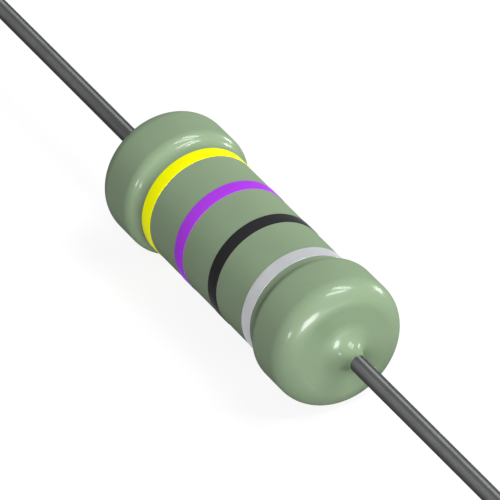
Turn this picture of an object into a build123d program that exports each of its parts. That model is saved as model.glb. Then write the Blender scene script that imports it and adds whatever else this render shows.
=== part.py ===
from build123d import *
import os
from math import acos, degrees, radians, sin, sqrt

# Anti-surge resistor, axial, with a solid ceramic-carbon rod, pressed end caps, stiff wire leads
# and a dog-bone enamel coat that carries four colour bands. All sizes are in millimetres.
# X runs along the leads, +Z is up and the origin is the middle of the body. The yellow band is
# at the -X end and the silver band is at the +X end.

# Resistive rod and its sprayed metal ends
rod_diameter = 5.10
rod_length = 16.00
rod_chamfer = 0.25
metal_thickness = 0.06

# Pressed end caps
cap_wall = 0.30
cap_depth = 2.26

# Wire leads, butt-welded to the caps
wire_diameter = 0.80
wire_bare_length = 27.00
wire_end_chamfer = 0.08
weld_diameter = 1.30

# Enamel coat: its walls over each piece, its shoulders, its rims and its rise up each wire
coat_wall_on_rod = 0.26
coat_wall_on_cap = 0.305
coat_wall_on_end = 0.26
shoulder_lap = 0.28
shoulder_foot_radius = 0.63
shoulder_top_radius = 0.63
rim_corner_radius = 1.13
rim_corner_turn = 67.0
rim_face_radius = 0.85
meniscus_radius = 1.07
meniscus_edge = 0.03

# Ink bands
band_width = 0.75
band_margin = 0.16
ink_thickness = 0.02
band_names = ["yellow", "violet", "black", "silver"]

# Radii and places that follow from the sizes above, outwards from the rod
rod_radius = rod_diameter / 2
rod_end = rod_length / 2
metal_radius = rod_radius + metal_thickness
metal_end = rod_end + metal_thickness
metal_chamfer = rod_chamfer + (2 - sqrt(2)) * metal_thickness
cap_chamfer = metal_chamfer + (2 - sqrt(2)) * cap_wall
cap_radius = metal_radius + cap_wall
cap_end = metal_end + cap_wall
cap_mouth = metal_end - cap_depth
coat_body_radius = rod_radius + coat_wall_on_rod
coat_head_radius = cap_radius + coat_wall_on_cap
coat_face = cap_end + coat_wall_on_end
coat_tip = coat_face + meniscus_radius
wire_radius = wire_diameter / 2
wire_end = coat_tip + wire_bare_length

# The shoulder is two tangent arcs that climb from the body to the head
shoulder_rise = coat_head_radius - coat_body_radius
shoulder_angle = acos(1 - shoulder_rise / (shoulder_foot_radius + shoulder_top_radius))
shoulder_length = (shoulder_foot_radius + shoulder_top_radius) * sin(shoulder_angle)
shoulder_foot = cap_mouth + shoulder_lap - shoulder_length

# The rim turns from the head onto the flat face by two tangent arcs, and the meniscus climbs from
# the face up the wire
rim_length = rim_face_radius - (rim_face_radius - rim_corner_radius) * sin(radians(rim_corner_turn))
meniscus_foot = wire_radius + meniscus_edge + meniscus_radius

# The outer bands stop just short of the shoulders and the others are spaced evenly between them
outer_band_centre = shoulder_foot - band_margin - band_width / 2
band_pitch = 2 * outer_band_centre / (len(band_names) - 1)

along_x = (0, 90, 0)
end_at_x = (Align.CENTER, Align.CENTER, Align.MAX)


# Resistive rod: a pressed and fired cylinder of ceramic and carbon with chamfered ends
with BuildPart() as resistive_rod:
    Cylinder(rod_radius, rod_length, rotation=along_x)
    chamfer(resistive_rod.edges().filter_by(GeomType.CIRCLE), rod_chamfer)
resistive_rod.part.label = "resistive_rod"


# Sprayed metal end: a thin even layer that wraps the end of the rod and meets the cap
with BuildPart() as metal_end_right:
    with Locations((metal_end, 0, 0)):
        Cylinder(metal_radius, cap_depth, rotation=along_x, align=end_at_x)
    chamfer(metal_end_right.edges().group_by(Axis.X)[-1], metal_chamfer)
    add(resistive_rod.part, mode=Mode.SUBTRACT)
metal_end_right.part.label = "metal_end_right"

with BuildPart() as metal_end_left:
    mirror(metal_end_right.part, about=Plane.YZ)
metal_end_left.part.label = "metal_end_left"


# End cap: a drawn cup with an even wall, pressed tight over the metal end
with BuildPart() as end_cap_right:
    with Locations((cap_end, 0, 0)):
        Cylinder(cap_radius, cap_depth + cap_wall, rotation=along_x, align=end_at_x)
    chamfer(end_cap_right.edges().group_by(Axis.X)[-1], cap_chamfer)
    add(metal_end_right.part, mode=Mode.SUBTRACT)
    add(resistive_rod.part, mode=Mode.SUBTRACT)
end_cap_right.part.label = "end_cap_right"

with BuildPart() as end_cap_left:
    mirror(end_cap_right.part, about=Plane.YZ)
end_cap_left.part.label = "end_cap_left"


# Lead: stiff round wire with an upset root that is butt-welded to the cap. The root tapers down
# inside the coat, so that what shows is plain wire.
with BuildPart() as lead_right:
    with BuildSketch(Plane.XZ):
        with BuildLine():
            root = Line((cap_end, weld_diameter / 2), (coat_tip, wire_radius))
            Polyline(root @ 1, (wire_end, wire_radius), (wire_end, 0), (cap_end, 0), root @ 0)
        make_face()
    revolve(axis=Axis.X)
    chamfer(lead_right.edges().group_by(Axis.X)[-1], wire_end_chamfer)
lead_right.part.label = "lead_right"

with BuildPart() as lead_left:
    mirror(lead_right.part, about=Plane.YZ)
lead_left.part.label = "lead_left"


# Enamel coat: one dipped and cured skin over everything but the wires. Its outline is turned
# about X: body, shoulder, head, full rim, flat face and the meniscus that climbs each wire.
with BuildPart() as enamel_coat:
    with BuildSketch(Plane.XZ):
        with BuildLine():
            body = Line((0, coat_body_radius), (shoulder_foot, coat_body_radius))
            foot = JernArc(body @ 1, body % 1, shoulder_foot_radius, degrees(shoulder_angle))
            top = JernArc(foot @ 1, foot % 1, shoulder_top_radius, -degrees(shoulder_angle))
            head = Line(top @ 1, (coat_face - rim_length, coat_head_radius))
            corner = JernArc(head @ 1, head % 1, rim_corner_radius, -rim_corner_turn)
            rim = JernArc(corner @ 1, corner % 1, rim_face_radius, rim_corner_turn - 90)
            face = Line(rim @ 1, (coat_face, meniscus_foot))
            meniscus = JernArc(face @ 1, face % 1, meniscus_radius, 90)
            Polyline(meniscus @ 1, (coat_tip, 0), (0, 0))
            mirror(about=Plane.YZ)
        make_face()
    revolve(axis=Axis.X)
    for covered in (resistive_rod, metal_end_right, end_cap_right, lead_right):
        add(covered.part, mode=Mode.SUBTRACT)
        mirror(covered.part, about=Plane.YZ, mode=Mode.SUBTRACT)
enamel_coat.part.label = "enamel_coat"


# Colour bands: thin rings of ink on the straight part of the coat
bands = []
for index, colour in enumerate(band_names):
    band_centre = index * band_pitch - outer_band_centre
    with BuildPart() as band:
        with BuildSketch(Plane.YZ.offset(band_centre)):
            Circle(coat_body_radius + ink_thickness)
            Circle(coat_body_radius, mode=Mode.SUBTRACT)
        extrude(amount=band_width / 2, both=True)
    band.part.label = "band_" + colour
    bands.append(band)


os.makedirs("parts", exist_ok=True)
inner_pieces = [resistive_rod, metal_end_left, metal_end_right, end_cap_left, end_cap_right]
outer_pieces = [lead_left, lead_right, enamel_coat]
for piece in inner_pieces + outer_pieces + bands:
    export_step(piece.part, "parts/" + piece.part.label + ".step")
    print(piece.part.label, round(piece.part.volume, 3), "mm3")
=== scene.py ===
"""Looks of an axial anti-surge resistor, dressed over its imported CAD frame.

Sizes are written in millimetres and turned into metres where a mesh, lamp or camera is made.
X runs along the wires, the yellow band is at the -X end and the origin is the body's middle.
"""

from __future__ import annotations

import logging
import math
from dataclasses import dataclass, field
from enum import Enum

import bpy
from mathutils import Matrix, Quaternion, Vector

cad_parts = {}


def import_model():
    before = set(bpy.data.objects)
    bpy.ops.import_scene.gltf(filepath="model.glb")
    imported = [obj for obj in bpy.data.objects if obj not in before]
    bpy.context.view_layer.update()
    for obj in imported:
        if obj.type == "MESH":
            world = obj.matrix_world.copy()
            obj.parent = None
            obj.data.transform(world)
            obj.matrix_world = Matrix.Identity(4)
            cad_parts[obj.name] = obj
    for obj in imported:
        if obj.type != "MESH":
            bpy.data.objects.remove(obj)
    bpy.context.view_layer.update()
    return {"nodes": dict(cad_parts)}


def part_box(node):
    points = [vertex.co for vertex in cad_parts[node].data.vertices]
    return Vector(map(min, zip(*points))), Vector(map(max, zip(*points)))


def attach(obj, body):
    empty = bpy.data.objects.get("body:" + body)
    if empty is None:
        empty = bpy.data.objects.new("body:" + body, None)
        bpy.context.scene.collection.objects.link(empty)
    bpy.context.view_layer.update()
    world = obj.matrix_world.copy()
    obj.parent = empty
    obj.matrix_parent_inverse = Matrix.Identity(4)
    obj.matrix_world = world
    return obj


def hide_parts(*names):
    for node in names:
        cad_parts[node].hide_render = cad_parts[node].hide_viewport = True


MM = 0.001
BODY = "root"
QUARTER_TURN = 90.0
FULL_TURN = 360.0

# A point in a plane, the two ends of a range, a place on a ramp with its level, and a linear RGB
# colour
Point = tuple[float, float]
Range = tuple[float, float]
Stop = tuple[float, float]
Colour = tuple[float, float, float]
Socket = bpy.types.NodeSocket

WHITE: Colour = (1.0, 1.0, 1.0)

log = logging.getLogger("resistor")


class Side(Enum):
    """The end of the part that a piece belongs to, as its node's name says it."""

    LEFT = "left"
    RIGHT = "right"


@dataclass(frozen=True)
class Film:
    """The look of a printed film of ink.

    Metal is its share of metal flake, from 0 to 1. Sheen is how strongly its surface shines, where
    0.5 is a clear varnish. Cloud is how far its brightness wanders where the film is thick or
    thin, as a share.
    """

    colour: Colour
    metal: float
    sheen: float
    cloud: float


class Ink(Enum):
    """The inks of the printed bands, in order from the -X end."""

    YELLOW = Film((0.98, 0.98, 0.004), metal=0.42, sheen=0.025, cloud=0.02)
    VIOLET = Film((0.435, 0.053, 0.8), metal=0.28, sheen=0.02, cloud=0.05)
    BLACK = Film((0.028, 0.028, 0.03), metal=0.0, sheen=0.01, cloud=0.05)
    SILVER = Film((0.53, 0.535, 0.56), metal=0.5, sheen=0.55, cloud=0.09)

    @property
    def label(self) -> str:
        """The ink's name, as its band's node and its material slot say it."""
        return self.name.lower()


@dataclass(frozen=True)
class ResistorSizes:
    """The driving sizes of the part, in millimetres, as its CAD source has them."""

    rod_radius: float = 2.55
    rod_end: float = 8.00
    cap_radius: float = 2.91
    cap_end: float = 8.36
    cap_mouth: float = 5.80
    cap_chamfer: float = 0.461
    wire_radius: float = 0.40
    wire_end: float = 36.69
    wire_end_chamfer: float = 0.08
    weld_radius: float = 0.65
    coat_wall_on_rod: float = 0.26
    coat_wall_on_cap: float = 0.305
    coat_wall_on_end: float = 0.26
    shoulder_lap: float = 0.28
    shoulder_radius: float = 0.63
    rim_corner_radius: float = 1.13
    rim_corner_turn: float = 67.0
    rim_face_radius: float = 0.85
    meniscus_radius: float = 1.07
    meniscus_edge: float = 0.03
    band_width: float = 0.75
    band_margin: float = 0.16
    ink_thickness: float = 0.02

    @property
    def body_radius(self) -> float:
        """Radius of the coat between the shoulders."""
        return self.rod_radius + self.coat_wall_on_rod

    @property
    def band_radius(self) -> float:
        """Radius of the ink bands."""
        return self.body_radius + self.ink_thickness

    @property
    def head_radius(self) -> float:
        """Radius of the coat over the caps."""
        return self.cap_radius + self.coat_wall_on_cap

    @property
    def face(self) -> float:
        """Distance of the coat's flat end face from the middle."""
        return self.cap_end + self.coat_wall_on_end

    @property
    def coat_tip(self) -> float:
        """Distance from the middle at which the meniscus ends on the wire."""
        return self.face + self.meniscus_radius

    @property
    def shoulder_turn(self) -> float:
        """Angle in degrees that each of the shoulder's two arcs turns through."""
        rise = self.head_radius - self.body_radius
        return math.degrees(math.acos(1 - rise / (2 * self.shoulder_radius)))

    @property
    def shoulder_foot(self) -> float:
        """Distance from the middle at which the coat starts to climb over the cap."""
        length = 2 * self.shoulder_radius * math.sin(math.radians(self.shoulder_turn))
        return self.cap_mouth + self.shoulder_lap - length

    @property
    def rim_length(self) -> float:
        """Length along X of the two arcs that turn the head onto the face."""
        difference = self.rim_face_radius - self.rim_corner_radius
        return self.rim_face_radius - difference * math.sin(math.radians(self.rim_corner_turn))

    @property
    def outer_band_centre(self) -> float:
        """Distance of the first and last bands' middles from the middle of the body."""
        return self.shoulder_foot - self.band_margin - self.band_width / 2

    def check_against_frame(self, slack: float = 0.03) -> None:
        """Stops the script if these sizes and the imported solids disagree.

        Args:
            slack: The largest difference allowed, in millimetres.
        """
        wanted = {
            "enamel_coat": (self.coat_tip, self.head_radius),
            "end_cap_right": (self.cap_end, self.cap_radius),
            "resistive_rod": (self.rod_end, self.rod_radius),
            "lead_right": (self.wire_end, self.weld_radius),
            "band_silver": (self.outer_band_centre + self.band_width / 2, self.band_radius),
        }
        for node, here in wanted.items():
            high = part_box(node)[1] / MM
            packed = (high.x, max(high.y, high.z))
            if max(abs(a - b) for a, b in zip(packed, here)) > slack:
                raise ValueError(f"{node} reaches {packed} mm along and out in the frame, and {here} here")


@dataclass
class Outline:
    """A line in the plane of X and the distance from X, drawn as a pen that moves and turns.

    The heading is in degrees: 0 runs towards +X and 90 runs away from the axis. The step is the
    largest angle in degrees from one point of an arc to the next.
    """

    x: float
    radius: float
    heading: float = 0.0
    step: float = 3.0
    points: list[Point] = field(default_factory=list)

    def __post_init__(self) -> None:
        """Puts the pen down on its first point."""
        self.points.append((self.x, self.radius))

    def line(self, x: float, radius: float) -> None:
        """Draws a straight run to a point."""
        self.x, self.radius = x, radius
        self.points.append((x, radius))

    def arc(self, bend: float, turn: float) -> None:
        """Draws an arc that leaves in the pen's heading.

        Args:
            bend: The arc's radius in millimetres.
            turn: The angle that it turns through in degrees, above 0 away from the axis.
        """
        side = math.copysign(1.0, turn)
        start = math.radians(self.heading)
        centre_x = self.x - side * bend * math.sin(start)
        centre_radius = self.radius + side * bend * math.cos(start)
        steps = max(2, math.ceil(abs(turn) / self.step))
        for index in range(1, steps + 1):
            angle = start + math.radians(turn) * index / steps
            x = centre_x + side * bend * math.sin(angle)
            self.line(x, centre_radius - side * bend * math.cos(angle))
        self.heading += turn


def mirrored(points: list[Point]) -> list[Point]:
    """Returns a line's mirror image across X = 0, in the order that keeps its faces outwards."""
    return [(-x, radius) for x, radius in reversed(points)]


def shaded(colour: Colour, share: float) -> Colour:
    """Returns a colour with each part multiplied by a share."""
    return (colour[0] * share, colour[1] * share, colour[2] * share)


def opaque(colour: Colour) -> tuple[float, float, float, float]:
    """Returns a colour as a node's socket takes it, with a full alpha."""
    return (*colour, 1.0)


class NodeBench:
    """Adds, sets and links the nodes of one node tree."""

    def __init__(self, tree: bpy.types.NodeTree) -> None:
        """Takes the tree that the nodes go into."""
        self.tree = tree

    @classmethod
    def cleared(cls, owner: bpy.types.Material | bpy.types.World) -> NodeBench:
        """Empties a node tree and starts on it.

        Args:
            owner: The material or the world that the tree belongs to.

        Returns:
            The bench for its nodes.
        """
        owner.use_nodes = True
        owner.node_tree.nodes.clear()
        return cls(owner.node_tree)

    def add(
        self, kind: str, inputs: dict[str | int, object] | None = None, **settings: object
    ) -> bpy.types.Node:
        """Adds a node.

        Args:
            kind: Blender's name for the node's type.
            inputs: What goes into its sockets, by name or number: a socket is linked, and
                anything else is set as the socket's value.
            **settings: The node's own settings, such as its operation.

        Returns:
            The new node.
        """
        node = self.tree.nodes.new(kind)
        for name, value in settings.items():
            setattr(node, name, value)
        for key, value in (inputs or {}).items():
            socket = node.inputs[key]
            if isinstance(value, bpy.types.NodeSocket):
                self.tree.links.new(value, socket)
            else:
                socket.default_value = value
        return node

    def math(self, operation: str, *values: object) -> Socket:
        """Adds a math node, shader or geometry, and returns its result."""
        return self.add("ShaderNodeMath", dict(enumerate(values)), operation=operation).outputs[0]

    def mixed(self, first: Socket, second: Socket, share: float) -> Socket:
        """Mixes two noises, with that share of the first."""
        return self.math("MULTIPLY_ADD", first, share, self.math("MULTIPLY", second, 1 - share))


class Lathe:
    """A Geometry Nodes tree that turns an outline about X into a closed skin.

    It goes round X in so many segments, shades an edge as sharp where its faces meet at more than
    so many degrees, and merges points that are closer than a distance in metres.
    """

    segments: int = 192
    sharp_above: float = 38.0
    merge_distance: float = 1e-7

    def __init__(self) -> None:
        """Builds the tree once, for every piece that is turned."""
        self.tree = bpy.data.node_groups.new("turn_about_x", "GeometryNodeTree")
        self._name_sockets()
        self._lay_nodes()

    def _name_sockets(self) -> None:
        """Gives the tree its named inputs and its output."""
        sockets = (
            ("Outline", "INPUT", "NodeSocketGeometry"),
            ("Segments", "INPUT", "NodeSocketInt"),
            ("Closed", "INPUT", "NodeSocketInt"),
            ("Sharp Above", "INPUT", "NodeSocketFloat"),
            ("Finish", "INPUT", "NodeSocketMaterial"),
            ("Skin", "OUTPUT", "NodeSocketGeometry"),
        )
        for name, way, kind in sockets:
            self.tree.interface.new_socket(name, in_out=way, socket_type=kind)

    def _lay_nodes(self) -> None:
        """Lays a grid, wraps it round X along the outline, and closes its seam."""
        bench = NodeBench(self.tree)
        given = bench.add("NodeGroupInput").outputs
        size = bench.add("GeometryNodeAttributeDomainSize", {"Geometry": given["Outline"]})
        count = size.outputs["Point Count"]
        stations = bench.math("ADD", count, given["Closed"])
        columns = bench.math("ADD", given["Segments"], 1.0)
        grid = bench.add("GeometryNodeMeshGrid", {"Vertices X": stations, "Vertices Y": columns})
        index = bench.add("GeometryNodeInputIndex").outputs[0]
        station = bench.math("FLOOR", bench.math("DIVIDE", index, columns))
        column = bench.math("SUBTRACT", index, bench.math("MULTIPLY", station, columns))
        sample = bench.add(
            "GeometryNodeSampleIndex",
            {
                "Geometry": given["Outline"],
                "Value": bench.add("GeometryNodeInputPosition").outputs[0],
                "Index": bench.math("MODULO", station, count),
            },
            data_type="FLOAT_VECTOR",
            domain="POINT",
        )
        place = bench.add("ShaderNodeSeparateXYZ", {0: sample.outputs["Value"]}).outputs
        angle = bench.math("MULTIPLY", bench.math("DIVIDE", column, given["Segments"]), -math.tau)
        across = bench.math("MULTIPLY", place["Y"], bench.math("COSINE", angle))
        up = bench.math("MULTIPLY", place["Y"], bench.math("SINE", angle))
        turned = bench.add("ShaderNodeCombineXYZ", {"X": place["X"], "Y": across, "Z": up}).outputs[0]
        skin = bench.add("GeometryNodeSetPosition", {"Geometry": grid.outputs["Mesh"], "Position": turned})
        closed = bench.add(
            "GeometryNodeMergeByDistance",
            {"Geometry": skin.outputs["Geometry"], "Distance": self.merge_distance},
        )
        smooth = bench.add(
            "GeometryNodeSetShadeSmooth",
            {"Geometry": closed.outputs["Geometry"]},
            domain="FACE",
        )
        crease = bench.math(
            "GREATER_THAN",
            bench.add("GeometryNodeInputMeshEdgeAngle").outputs["Unsigned Angle"],
            given["Sharp Above"],
        )
        creased = bench.add(
            "GeometryNodeSetShadeSmooth",
            {"Geometry": smooth.outputs["Geometry"], "Selection": crease, "Shade Smooth": False},
            domain="EDGE",
        )
        real = bench.add("GeometryNodeRealizeInstances", {"Geometry": creased.outputs["Geometry"]})
        finished = bench.add(
            "GeometryNodeSetMaterial",
            {"Geometry": real.outputs["Geometry"], "Material": given["Finish"]},
        )
        bench.add("NodeGroupOutput", {"Skin": finished.outputs["Geometry"]})

    def turn(
        self, name: str, points: list[Point], closed: bool, finish: bpy.types.Material
    ) -> bpy.types.Object:
        """Turns an outline into a piece.

        Args:
            name: The piece's name.
            points: The outline in millimetres, with the piece on its right as it runs.
            closed: Whether the outline joins its own start, as it does where it clears the axis.
            finish: The piece's material.

        Returns:
            The piece, as a plain mesh with no modifier.
        """
        draft = bpy.data.meshes.new(name + "_outline")
        draft.from_pydata([(x * MM, radius * MM, 0.0) for x, radius in points], [], [])
        piece = bpy.data.objects.new(name, draft)
        bpy.context.scene.collection.objects.link(piece)
        modifier = piece.modifiers.new("turn", "NODES")
        modifier.node_group = self.tree
        values = {
            "Segments": self.segments,
            "Closed": int(closed),
            "Sharp Above": math.radians(self.sharp_above),
            "Finish": finish,
        }
        for item in self.tree.interface.items_tree:
            if item.name in values:
                modifier[item.identifier] = values[item.name]
        depsgraph = bpy.context.evaluated_depsgraph_get()
        skin = bpy.data.meshes.new_from_object(piece.evaluated_get(depsgraph), depsgraph=depsgraph)
        skin.name = name
        piece.modifiers.clear()
        piece.data = skin
        bpy.data.meshes.remove(draft)
        return piece


@dataclass(frozen=True)
class Relief:
    """A bump in a surface: its height in millimetres, and how strongly it shows, from 0 to 1."""

    height_mm: float
    strength: float


class Finish:
    """What every finish shares: a Principled material whose patterns follow Object coordinates.

    A noise keeps mostly to its middle, so that is the part of it that is spread over a colour or a
    roughness. The cosine blend is the one at which Layer Weight gives one less the cosine of the
    view's slant.
    """

    name: str
    noise_detail: float = 3.0
    noise_roughness: float = 0.55
    noise_middle: Range = (0.3, 0.7)
    cosine_blend: float = 0.5

    def material(self) -> bpy.types.Material:
        """Makes the material.

        Returns:
            The material, with its patterns laid in millimetres of the part.
        """
        made = bpy.data.materials.new(self.name)
        bench = NodeBench.cleared(made)
        place = bench.add("ShaderNodeTexCoord").outputs["Object"]
        in_mm = bench.add("ShaderNodeMapping", {"Vector": place, "Scale": (1 / MM, 1 / MM, 1 / MM)})
        shader = bench.add("ShaderNodeBsdfPrincipled", self.inputs(bench, in_mm.outputs["Vector"]))
        bench.add("ShaderNodeOutputMaterial", {"Surface": shader.outputs[0]})
        return made

    def inputs(self, bench: NodeBench, place: Socket) -> dict[str, object]:
        """Lays the nodes of the finish.

        Args:
            bench: The material's nodes.
            place: The place on the part, in millimetres.

        Returns:
            What goes into the shader's sockets.
        """
        raise NotImplementedError

    def grain(self, bench: NodeBench, place: Socket, per_mm: float) -> Socket:
        """Adds a noise of so many grains to the millimetre, with values from 0 to 1."""
        look = {"Scale": per_mm, "Detail": self.noise_detail, "Roughness": self.noise_roughness}
        return bench.add("ShaderNodeTexNoise", {"Vector": place, **look}).outputs["Fac"]

    def lines(self, bench: NodeBench, place: Socket, per_mm: Range) -> Socket:
        """Adds a noise that is drawn out into lines.

        Args:
            bench: The material's nodes.
            place: The place on the part, in millimetres.
            per_mm: The grains to the millimetre along X and across it.

        Returns:
            The noise, with values from 0 to 1.
        """
        along, across = per_mm
        drawn = bench.add("ShaderNodeMapping", {"Vector": place, "Scale": (along, across, across)})
        return self.grain(bench, drawn.outputs["Vector"], 1.0)

    def spread(self, bench: NodeBench, value: Socket, span: Range) -> Socket:
        """Spreads the middle of a noise over a range of values.

        Args:
            bench: The material's nodes.
            value: The noise.
            span: The values at the noise's low end and at its high end.

        Returns:
            The value.
        """
        (first, last), (low, high) = self.noise_middle, span
        limits = {"Value": value, "From Min": first, "From Max": last, "To Min": low, "To Max": high}
        return bench.add("ShaderNodeMapRange", limits).outputs["Result"]

    def tint(self, bench: NodeBench, value: Socket, low: Colour, high: Colour) -> Socket:
        """Runs from one colour to another over the middle of a noise.

        Args:
            bench: The material's nodes.
            value: The noise.
            low: The colour at the noise's low end.
            high: The colour at its high end.

        Returns:
            The colour.
        """
        ramp = bench.add("ShaderNodeValToRGB", {"Fac": value})
        for stop, position, colour in zip(ramp.color_ramp.elements, self.noise_middle, (low, high)):
            stop.position = position
            stop.color = opaque(colour)
        return ramp.outputs["Color"]

    def gloss(self, bench: NodeBench, weight: float, falloff: float) -> Socket:
        """Weakens a clear gloss towards its edges, where it would mirror the white floor.

        Args:
            bench: The material's nodes.
            weight: The gloss where the surface is seen square on.
            falloff: How fast it weakens: the power of the cosine of the view's slant.

        Returns:
            The gloss.
        """
        layer = bench.add("ShaderNodeLayerWeight", {"Blend": self.cosine_blend})
        square_on = bench.math("SUBTRACT", 1.0, layer.outputs["Facing"])
        return bench.math("MULTIPLY", bench.math("POWER", square_on, falloff), weight)

    @staticmethod
    def bump(bench: NodeBench, value: Socket, relief: Relief) -> Socket:
        """Turns a noise into a bump."""
        size = {"Distance": relief.height_mm * MM, "Strength": relief.strength}
        return bench.add("ShaderNodeBump", {"Height": value, **size}).outputs["Normal"]


@dataclass(frozen=True)
class EnamelFinish(Finish):
    """Cured sage green enamel: glossy, with a faint cloud in its colour and a faint orange peel."""

    name: str = "green_enamel"
    colour: Colour = (0.242, 0.338, 0.206)
    shades: Range = (0.96, 1.04)
    clouds_per_mm: float = 0.45
    pigment_per_mm: float = 9.0
    cloud_share: float = 0.7
    peel_per_mm: float = 1.6
    peel: Relief = Relief(0.004, 0.35)
    roughness: Range = (0.30, 0.38)
    sheen: float = 0.28
    sheen_falloff: float = 3.0
    gloss_weight: float = 0.64
    gloss_falloff: float = 1.74
    gloss_roughness: float = 0.12

    def inputs(self, bench: NodeBench, place: Socket) -> dict[str, object]:
        """Lays clouds and pigment grain in the colour, and orange peel under the gloss.

        Args:
            bench: The material's nodes.
            place: The place on the part, in millimetres.

        Returns:
            What goes into the shader's sockets.
        """
        pigment = self.grain(bench, place, self.pigment_per_mm)
        clouds = self.grain(bench, place, self.clouds_per_mm)
        mixed = bench.mixed(clouds, pigment, self.cloud_share)
        dark, light = (shaded(self.colour, share) for share in self.shades)
        peel = self.bump(bench, self.grain(bench, place, self.peel_per_mm), self.peel)
        return {
            "Base Color": self.tint(bench, mixed, dark, light),
            "Roughness": self.spread(bench, pigment, self.roughness),
            "Specular IOR Level": self.gloss(bench, self.sheen, self.sheen_falloff),
            "Coat Weight": self.gloss(bench, self.gloss_weight, self.gloss_falloff),
            "Coat Roughness": self.gloss_roughness,
            "Normal": peel,
            "Coat Normal": peel,
        }


@dataclass(frozen=True)
class InkFinish(Finish):
    """Printed ink: a satin film with a fine grain, thinner in small clouds."""

    ink: Ink
    clouds_per_mm: float = 0.8
    print_per_mm: float = 6.0
    cloud_share: float = 0.7
    relief: Relief = Relief(0.002, 0.3)
    roughness: Range = (0.33, 0.44)

    @property
    def name(self) -> str:
        """The material's name, after its colour."""
        return f"{self.ink.label}_ink"

    def inputs(self, bench: NodeBench, place: Socket) -> dict[str, object]:
        """Lays the print's grain and clouds in the colour, the roughness and the surface.

        Args:
            bench: The material's nodes.
            place: The place on the part, in millimetres.

        Returns:
            What goes into the shader's sockets.
        """
        film = self.ink.value
        print_grain = self.grain(bench, place, self.print_per_mm)
        clouds = self.grain(bench, place, self.clouds_per_mm)
        mixed = bench.mixed(clouds, print_grain, self.cloud_share)
        thin, thick = shaded(film.colour, 1 - film.cloud), shaded(film.colour, 1 + film.cloud)
        return {
            "Base Color": self.tint(bench, mixed, thin, thick),
            "Metallic": film.metal,
            "Roughness": self.spread(bench, print_grain, self.roughness),
            "Specular IOR Level": film.sheen,
            "Specular Tint": opaque(shaded(film.colour, 1 / max(film.colour))),
            "Normal": self.bump(bench, print_grain, self.relief),
        }


@dataclass(frozen=True)
class WireFinish(Finish):
    """Dull tinned copper wire with lines along it: die lines, a painted highlight and painted shade.

    Its gloss is stretched along the wire, so that the lamps lie on it as long streaks, and is
    weak where the wire turns away.

    Each line is its angle round X in degrees, from +Y towards +Z, and its shade, where 1 is
    the wire's own colour. The colour runs evenly from each line to the next. The bright line
    from 84 to 92 degrees is a painted highlight along the lamps' streak, and the dark line from
    174 to 192 degrees is painted shade; the other lines are die lines.
    """

    name: str = "tinned_wire"
    colour: Colour = (0.111, 0.113, 0.114)
    shades: Range = (0.88, 1.12)
    metal: float = 0.8
    edge_colour: Colour = (0.1, 0.1, 0.1)
    sheen: float = 0.1
    stretch: float = 1.0
    roughness: Range = (0.37, 0.49)
    scratches_per_mm: Range = (0.12, 9.0)
    scratch_share: float = 0.5
    patches_per_mm: float = 1.1
    relief: Relief = Relief(0.004, 0.5)
    # Die lines, with a painted highlight at 84 to 92 degrees and painted shade at 174 to 192 degrees
    die_lines_and_painted_light: tuple[Stop, ...] = (
        (5, 0.9), (30, 1.1), (66, 0.95), (78, 1.1), (84, 1.3), (92, 1.3), (98, 1.05), (106, 0.9),
        (120, 1.0), (150, 1.1), (164, 0.95), (174, 0.7), (192, 0.7), (210, 0.95), (240, 1.1),
        (262, 0.8), (275, 1.3), (288, 0.9), (320, 1.1), (345, 0.85),
    )

    def die_and_painted_lines(self, bench: NodeBench, place: Socket) -> Socket:
        """Lays the die lines, with the painted highlight and painted shade among them.

        Args:
            bench: The material's nodes.
            place: The place on the part, in millimetres.

        Returns:
            The lines' shade as a colour, where white is the brightest line.
        """
        axes = bench.add("ShaderNodeSeparateXYZ", {0: place}).outputs
        angle = bench.math("ARCTAN2", axes["Z"], axes["Y"])
        around = bench.math("FRACT", bench.math("DIVIDE", angle, math.tau))
        shade = bench.add("ShaderNodeValToRGB", {"Fac": around})
        stops = shade.color_ramp.elements
        while len(stops) < len(self.die_lines_and_painted_light):
            stops.new(1.0)
        for stop, (turn, level) in zip(stops, self.die_lines_and_painted_light):
            stop.position = turn / FULL_TURN
            stop.color = opaque(shaded(WHITE, level / self.brightest))
        return shade.outputs["Color"]

    @property
    def brightest(self) -> float:
        """The shade of the brightest line in the list."""
        return max(level for _, level in self.die_lines_and_painted_light)

    def inputs(self, bench: NodeBench, place: Socket) -> dict[str, object]:
        """Lays the die lines with their painted highlight and shade, fine scratches and dulled tin.

        Args:
            bench: The material's nodes.
            place: The place on the part, in millimetres.

        Returns:
            What goes into the shader's sockets.
        """
        scratches = self.lines(bench, place, self.scratches_per_mm)
        patches = self.grain(bench, place, self.patches_per_mm)
        mixed = bench.mixed(scratches, patches, self.scratch_share)
        dull, bright = (shaded(self.colour, share * self.brightest) for share in self.shades)
        both = {0: self.tint(bench, mixed, dull, bright), 1: self.die_and_painted_lines(bench, place)}
        tin = bench.add("ShaderNodeVectorMath", both, operation="MULTIPLY")
        wire_axis = bench.add(
            "ShaderNodeVectorTransform",
            {"Vector": (1.0, 0.0, 0.0)},
            vector_type="VECTOR",
            convert_from="OBJECT",
            convert_to="WORLD",
        )
        return {
            "Base Color": tin.outputs["Vector"],
            "Metallic": self.metal,
            "Roughness": self.spread(bench, mixed, self.roughness),
            "Specular IOR Level": self.sheen,
            "Specular Tint": opaque(self.edge_colour),
            "Anisotropic": self.stretch,
            "Tangent": wire_axis.outputs["Vector"],
            "Normal": self.bump(bench, scratches, self.relief),
        }


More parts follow.
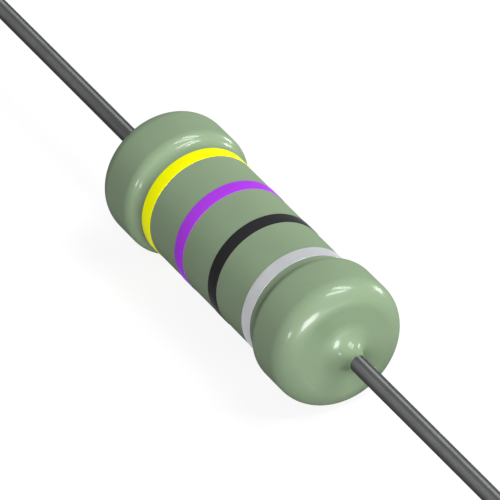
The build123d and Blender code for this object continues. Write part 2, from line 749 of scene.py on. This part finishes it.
@dataclass(frozen=True)
class CapFinish(Finish):
    """Bright tinned steel of a drawn cup, with lines round it from the press."""

    name: str = "tinned_cap"
    colour: Colour = (0.45, 0.45, 0.44)
    shades: Range = (0.85, 1.1)
    metal: float = 1.0
    roughness: Range = (0.28, 0.4)
    press_lines_per_mm: Range = (14.0, 0.4)
    relief: Relief = Relief(0.003, 0.4)

    def inputs(self, bench: NodeBench, place: Socket) -> dict[str, object]:
        """Lays press lines that run round the cup.

        Args:
            bench: The material's nodes.
            place: The place on the part, in millimetres.

        Returns:
            What goes into the shader's sockets.
        """
        press_lines = self.lines(bench, place, self.press_lines_per_mm)
        dark, light = (shaded(self.colour, share) for share in self.shades)
        return {
            "Base Color": self.tint(bench, press_lines, dark, light),
            "Metallic": self.metal,
            "Roughness": self.spread(bench, press_lines, self.roughness),
            "Normal": self.bump(bench, press_lines, self.relief),
        }


@dataclass(frozen=True)
class SprayedMetalFinish(Finish):
    """Flame-sprayed metal: pale, matt and made of fused droplets."""

    name: str = "sprayed_metal"
    colour: Colour = (0.48, 0.48, 0.48)
    shades: Range = (0.8, 1.1)
    metal: float = 0.9
    roughness: Range = (0.6, 0.75)
    droplets_per_mm: float = 7.0
    droplet_share: float = 0.6
    grains_per_mm: float = 12.0
    relief: Relief = Relief(0.015, 0.7)

    def inputs(self, bench: NodeBench, place: Socket) -> dict[str, object]:
        """Lays droplets as cells over a fine grain.

        Args:
            bench: The material's nodes.
            place: The place on the part, in millimetres.

        Returns:
            What goes into the shader's sockets.
        """
        cells = bench.add("ShaderNodeTexVoronoi", {"Vector": place, "Scale": self.droplets_per_mm})
        grains = self.grain(bench, place, self.grains_per_mm)
        mixed = bench.mixed(cells.outputs["Distance"], grains, self.droplet_share)
        dark, light = (shaded(self.colour, share) for share in self.shades)
        return {
            "Base Color": self.tint(bench, mixed, dark, light),
            "Metallic": self.metal,
            "Roughness": self.spread(bench, grains, self.roughness),
            "Normal": self.bump(bench, mixed, self.relief),
        }


@dataclass(frozen=True)
class CeramicCarbonFinish(Finish):
    """Pressed and fired ceramic with carbon: nearly black, matt, with pale grains of clay."""

    name: str = "ceramic_carbon"
    colour: Colour = (0.014, 0.013, 0.012)
    clay: Colour = (0.055, 0.05, 0.045)
    roughness: Range = (0.72, 0.88)
    clay_per_mm: float = 8.0
    pits_per_mm: float = 20.0
    relief: Relief = Relief(0.01, 0.6)

    def inputs(self, bench: NodeBench, place: Socket) -> dict[str, object]:
        """Lays grains of clay in the carbon and pits in the surface.

        Args:
            bench: The material's nodes.
            place: The place on the part, in millimetres.

        Returns:
            What goes into the shader's sockets.
        """
        pits = self.grain(bench, place, self.pits_per_mm)
        grains = self.grain(bench, place, self.clay_per_mm)
        return {
            "Base Color": self.tint(bench, grains, self.colour, self.clay),
            "Roughness": self.spread(bench, pits, self.roughness),
            "Normal": self.bump(bench, pits, self.relief),
        }


@dataclass
class EnamelCoat:
    """The dipped skin over the body: shoulders, rims, flat faces and a meniscus up each wire."""

    sizes: ResistorSizes
    finish: EnamelFinish = field(default_factory=EnamelFinish)

    def outside(self) -> list[Point]:
        """Draws the right half of the outside: body, shoulder, head, rim, face and meniscus.

        Returns:
            Its points, from the middle to the meniscus's edge.
        """
        s = self.sizes
        pen = Outline(0.0, s.body_radius)
        pen.line(s.shoulder_foot, s.body_radius)
        pen.arc(s.shoulder_radius, s.shoulder_turn)
        pen.arc(s.shoulder_radius, -s.shoulder_turn)
        pen.line(s.face - s.rim_length, s.head_radius)
        pen.arc(s.rim_corner_radius, -s.rim_corner_turn)
        pen.arc(s.rim_face_radius, s.rim_corner_turn - QUARTER_TURN)
        pen.line(s.face, s.wire_radius + s.meniscus_edge + s.meniscus_radius)
        pen.arc(s.meniscus_radius, QUARTER_TURN)
        return pen.points

    def inside(self) -> list[Point]:
        """Draws the right half of the inside, which fits the wire, the cap and the rod.

        Returns:
            Its points, from the wire back to the rod.
        """
        s = self.sizes
        return [
            (s.coat_tip, s.wire_radius),
            (s.cap_end, s.weld_radius),
            (s.cap_end, s.cap_radius - s.cap_chamfer),
            (s.cap_end - s.cap_chamfer, s.cap_radius),
            (s.cap_mouth, s.cap_radius),
            (s.cap_mouth, s.rod_radius),
        ]

    def build(self, lathe: Lathe) -> bpy.types.Object:
        """Makes the coat and puts it in its node's place.

        Args:
            lathe: The tree that turns outlines about X.

        Returns:
            The piece.
        """
        outside, inside = self.outside(), self.inside()
        loop = mirrored(outside)[:-1] + outside + inside + mirrored(inside)
        piece = lathe.turn("coat_skin", loop, True, self.finish.material())
        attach(piece, BODY)
        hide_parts("enamel_coat")
        return piece


@dataclass
class WireLead:
    """A stiff wire with an upset root inside the coat and a cut end.

    The cut end's edge is rounded by the size of the CAD's chamfer.
    """

    sizes: ResistorSizes
    side: Side

    def outline(self) -> list[Point]:
        """Draws the right wire: its weld, its taper through the coat and its plain length.

        Returns:
            Its points, from the root's middle to the cut end's middle.
        """
        s = self.sizes
        pen = Outline(s.cap_end, 0.0)
        pen.line(s.cap_end, s.weld_radius)
        pen.line(s.coat_tip, s.wire_radius)
        pen.line(s.wire_end - s.wire_end_chamfer, s.wire_radius)
        pen.arc(s.wire_end_chamfer, -QUARTER_TURN)
        pen.line(s.wire_end, 0.0)
        return pen.points

    def build(self, lathe: Lathe, finish: bpy.types.Material) -> bpy.types.Object:
        """Makes the wire and puts it in its node's place.

        Args:
            lathe: The tree that turns outlines about X.
            finish: The tinned wire's material, which both wires share.

        Returns:
            The piece.
        """
        end = self.side.value
        points = self.outline() if self.side is Side.RIGHT else mirrored(self.outline())
        piece = lathe.turn(f"wire_{end}", points, False, finish)
        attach(piece, BODY)
        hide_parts(f"lead_{end}")
        return piece


@dataclass
class InkBand:
    """One printed ring of ink on the straight part of the coat, with rounded edges.

    Bedding is how deep it goes into the coat in millimetres, and the edge step is the angle in
    degrees between the points round its edges.
    """

    sizes: ResistorSizes
    ink: Ink
    bedding: float = 0.004
    edge_step: float = 15.0

    def centre(self) -> float:
        """Returns the band's place on X in millimetres."""
        pitch = 2 * self.sizes.outer_band_centre / (len(Ink) - 1)
        return list(Ink).index(self.ink) * pitch - self.sizes.outer_band_centre

    def outline(self) -> list[Point]:
        """Draws the film's section, bedded a little in the coat so that no gap shows.

        Returns:
            Its points, round from the left foot to the right foot.
        """
        s = self.sizes
        film = s.ink_thickness
        left, right = self.centre() - s.band_width / 2, self.centre() + s.band_width / 2
        foot = s.body_radius - self.bedding
        pen = Outline(left, foot, heading=QUARTER_TURN, step=self.edge_step)
        pen.line(left, s.body_radius)
        pen.arc(film, -QUARTER_TURN)
        pen.line(right - film, s.band_radius)
        pen.arc(film, -QUARTER_TURN)
        pen.line(right, foot)
        return pen.points

    def build(self, lathe: Lathe) -> bpy.types.Object:
        """Makes the band and puts it in its node's place.

        Args:
            lathe: The tree that turns outlines about X.

        Returns:
            The piece.
        """
        colour = self.ink.label
        piece = lathe.turn(f"ring_{colour}", self.outline(), True, InkFinish(self.ink).material())
        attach(piece, BODY)
        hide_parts(f"band_{colour}")
        return piece


@dataclass
class SealedStack:
    """The rod, its sprayed ends and the pressed caps, which keep their CAD meshes inside the coat."""

    nodes: dict[str, bpy.types.Object]

    def dress(self) -> list[str]:
        """Gives each sealed node its material.

        Returns:
            The nodes' names.
        """
        ceramic = CeramicCarbonFinish().material()
        sprayed = SprayedMetalFinish().material()
        tinned = CapFinish().material()
        finishes = {"resistive_rod": ceramic}
        for side in Side:
            finishes[f"metal_end_{side.value}"] = sprayed
            finishes[f"end_cap_{side.value}"] = tinned
        for name, finish in finishes.items():
            materials = self.nodes[name].data.materials
            materials.clear()
            materials.append(finish)
        return sorted(finishes)


def direction(azimuth: float, elevation: float) -> Vector:
    """Gives the direction from the part to a lamp or the camera.

    Args:
        azimuth: Its turn from +X towards +Y, in degrees.
        elevation: Its height above the level, in degrees.

    Returns:
        The unit vector.
    """
    turn, height = math.radians(azimuth), math.radians(elevation)
    return Vector((math.cos(turn) * math.cos(height), math.sin(turn) * math.cos(height), math.sin(height)))


@dataclass(frozen=True)
class Lamp:
    """An oblong lamp that faces the part.

    Azimuth runs from +X towards +Y and elevation up from the floor, and width and height are the
    angles that the lamp fills as the part sees it, all in degrees. Level is the light that it
    throws on a surface that faces it, where 1 shows a colour as it is written. Roll turns the lamp
    about the line to the part, in degrees.
    """

    name: str
    azimuth: float
    elevation: float
    width: float
    height: float
    level: float
    roll: float = 0.0
    distance_mm: float = 400.0

    def build(self) -> bpy.types.Object:
        """Makes the lamp.

        A lamp throws its power over pi times the distance squared, and a matt surface shows that
        over pi, so the level is multiplied by both.

        Returns:
            The lamp.
        """
        distance = self.distance_mm * MM
        toward = direction(self.azimuth, self.elevation)
        data = bpy.data.lights.new(self.name, "AREA")
        data.shape = "RECTANGLE"
        data.size = 2 * distance * math.tan(math.radians(self.width / 2))
        data.size_y = 2 * distance * math.tan(math.radians(self.height / 2))
        data.energy = self.level * (math.pi * distance) ** 2
        lamp = bpy.data.objects.new(self.name, data)
        lamp.location = toward * distance
        lamp.rotation_mode = "QUATERNION"
        turned = Quaternion((0.0, 0.0, 1.0), math.radians(self.roll))
        lamp.rotation_quaternion = toward.to_track_quat("Z", "Y") @ turned
        bpy.context.scene.collection.objects.link(lamp)
        return lamp


@dataclass
class Studio:
    """A pale floor, six oblong lamps and a dim white surround.

    The floor's glow makes up for the lamps' light where it ends, so that the floor is as white far
    off as it is round the part. Each of its two stops is a distance from the part in millimetres
    and the glow there.
    """

    sizes: ResistorSizes
    surround_level: float = 0.155
    floor_reach_mm: float = 3000.0
    floor_colour: Colour = (0.16, 0.16, 0.16)
    floor_glow: tuple[Stop, Stop] = ((70.0, 0.88), (400.0, 0.985))
    lamps: tuple[Lamp, ...] = (
        Lamp("key_lamp", -18.5, 16.3, 23.5, 17.5, 0.57, roll=12.0),
        Lamp("front_lamp", -5.0, 10.0, 70.0, 18.0, 0.225),
        Lamp("side_lamp", 98.2, 7.0, 15.0, 11.5, 0.44),
        Lamp("low_lamp", -65.5, 10.1, 10.4, 7.6, 0.11),
        Lamp("upper_lamp", 36.0, 61.0, 8.6, 28.8, 0.345, roll=38.0),
        Lamp("rear_upper_lamp", 69.0, 61.3, 8.6, 28.8, 0.41, roll=-9.0),
    )

    @staticmethod
    def _seen(bench: NodeBench) -> Socket:
        """Tells the rays that show the floor and the surround from those that light the part.

        Args:
            bench: The nodes of the floor or of the surround.

        Returns:
            1 for rays from the camera and for mirrored and transmitted rays, and 0 for others.
        """
        path = bench.add("ShaderNodeLightPath").outputs
        direct = bench.math("MAXIMUM", path["Is Camera Ray"], path["Is Glossy Ray"])
        return bench.math("MAXIMUM", direct, path["Is Transmission Ray"])

    def _surround(self) -> None:
        """Makes the world white where it is seen, and dim where it lights the part."""
        world = bpy.data.worlds.new("surround")
        bpy.context.scene.world = world
        bench = NodeBench.cleared(world)
        extra = bench.math("MULTIPLY", self._seen(bench), 1.0 - self.surround_level)
        strength = bench.math("ADD", extra, self.surround_level)
        white = bench.add("ShaderNodeBackground", {"Color": opaque(WHITE), "Strength": strength})
        bench.add("ShaderNodeOutputWorld", {"Surface": white.outputs[0]})

    def _floor_finish(self) -> bpy.types.Material:
        """Makes the floor's material: matt, and pale where it is seen.

        Returns:
            The material.
        """
        material = bpy.data.materials.new("pale_floor")
        bench = NodeBench.cleared(material)
        place = bench.add("ShaderNodeTexCoord").outputs["Object"]
        away = bench.add("ShaderNodeVectorMath", {0: place}, operation="LENGTH").outputs["Value"]
        (near, near_glow), (far, far_glow) = self.floor_glow
        limits = {"From Min": near * MM, "From Max": far * MM, "To Min": near_glow, "To Max": far_glow}
        glow = bench.add("ShaderNodeMapRange", {"Value": away, **limits}).outputs["Result"]
        strength = bench.math("MULTIPLY", self._seen(bench), glow)
        white = bench.add("ShaderNodeEmission", {"Color": opaque(WHITE), "Strength": strength})
        matt = bench.add("ShaderNodeBsdfDiffuse", {"Color": opaque(self.floor_colour)})
        both = bench.add("ShaderNodeAddShader", {0: white.outputs[0], 1: matt.outputs[0]})
        bench.add("ShaderNodeOutputMaterial", {"Surface": both.outputs[0]})
        return material

    def _floor(self) -> bpy.types.Object:
        """Makes the floor that the heads rest on, which keeps the part's shadow.

        Returns:
            The floor.
        """
        reach, level = self.floor_reach_mm * MM, -self.sizes.head_radius * MM
        signs = ((-1, -1), (1, -1), (1, 1), (-1, 1))
        mesh = bpy.data.meshes.new("floor")
        mesh.from_pydata([(x * reach, y * reach, level) for x, y in signs], [], [(0, 1, 2, 3)])
        mesh.materials.append(self._floor_finish())
        floor = bpy.data.objects.new("floor", mesh)
        bpy.context.scene.collection.objects.link(floor)
        return floor

    def build(self) -> None:
        """Builds the surround, the floor and the lamps."""
        self._surround()
        self._floor()
        for lamp in self.lamps:
            lamp.build()
        bpy.context.scene.view_settings.view_transform = "Standard"


@dataclass(frozen=True)
class PhotoCamera:
    """The camera, at the photograph's angle and with its framing.

    Azimuth and elevation are those of the direction from the part to the camera, as a lamp's are.
    """

    azimuth: float = -29.205
    elevation: float = 33.84
    distance_mm: float = 337.5
    picture_px: float = 500.0
    focal_px: float = 7526.0
    middle_px: Point = (250.28, 256.22)
    sensor_mm: float = 36.0

    def build(self) -> bpy.types.Object:
        """Makes the camera and gives it to the scene.

        Returns:
            The camera.
        """
        data = bpy.data.cameras.new("camera")
        data.sensor_width = self.sensor_mm
        data.lens = self.focal_px * self.sensor_mm / self.picture_px
        data.shift_x = (self.picture_px / 2 - self.middle_px[0]) / self.picture_px
        data.shift_y = (self.middle_px[1] - self.picture_px / 2) / self.picture_px
        back = direction(self.azimuth, self.elevation)
        camera = bpy.data.objects.new("camera", data)
        camera.location = back * self.distance_mm * MM
        camera.rotation_mode = "QUATERNION"
        camera.rotation_quaternion = back.to_track_quat("Z", "Y")
        bpy.context.scene.collection.objects.link(camera)
        bpy.context.scene.camera = camera
        return camera


def main() -> None:
    """Builds the dressed part, the studio and the camera, and reports each piece."""
    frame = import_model()
    sizes = ResistorSizes()
    sizes.check_against_frame()
    lathe = Lathe()
    wire_finish = WireFinish().material()
    pieces = [EnamelCoat(sizes).build(lathe)]
    pieces += [WireLead(sizes, side).build(lathe, wire_finish) for side in Side]
    pieces += [InkBand(sizes, ink).build(lathe) for ink in Ink]
    for piece in pieces:
        log.info("%s: %d faces", piece.name, len(piece.data.polygons))
    for name in SealedStack(frame["nodes"]).dress():
        log.info("%s: dressed inside the coat", name)
    Studio(sizes).build()
    PhotoCamera().build()


if __name__ == "__main__":
    logging.basicConfig(level=logging.INFO, format="%(name)s: %(message)s")
    main()
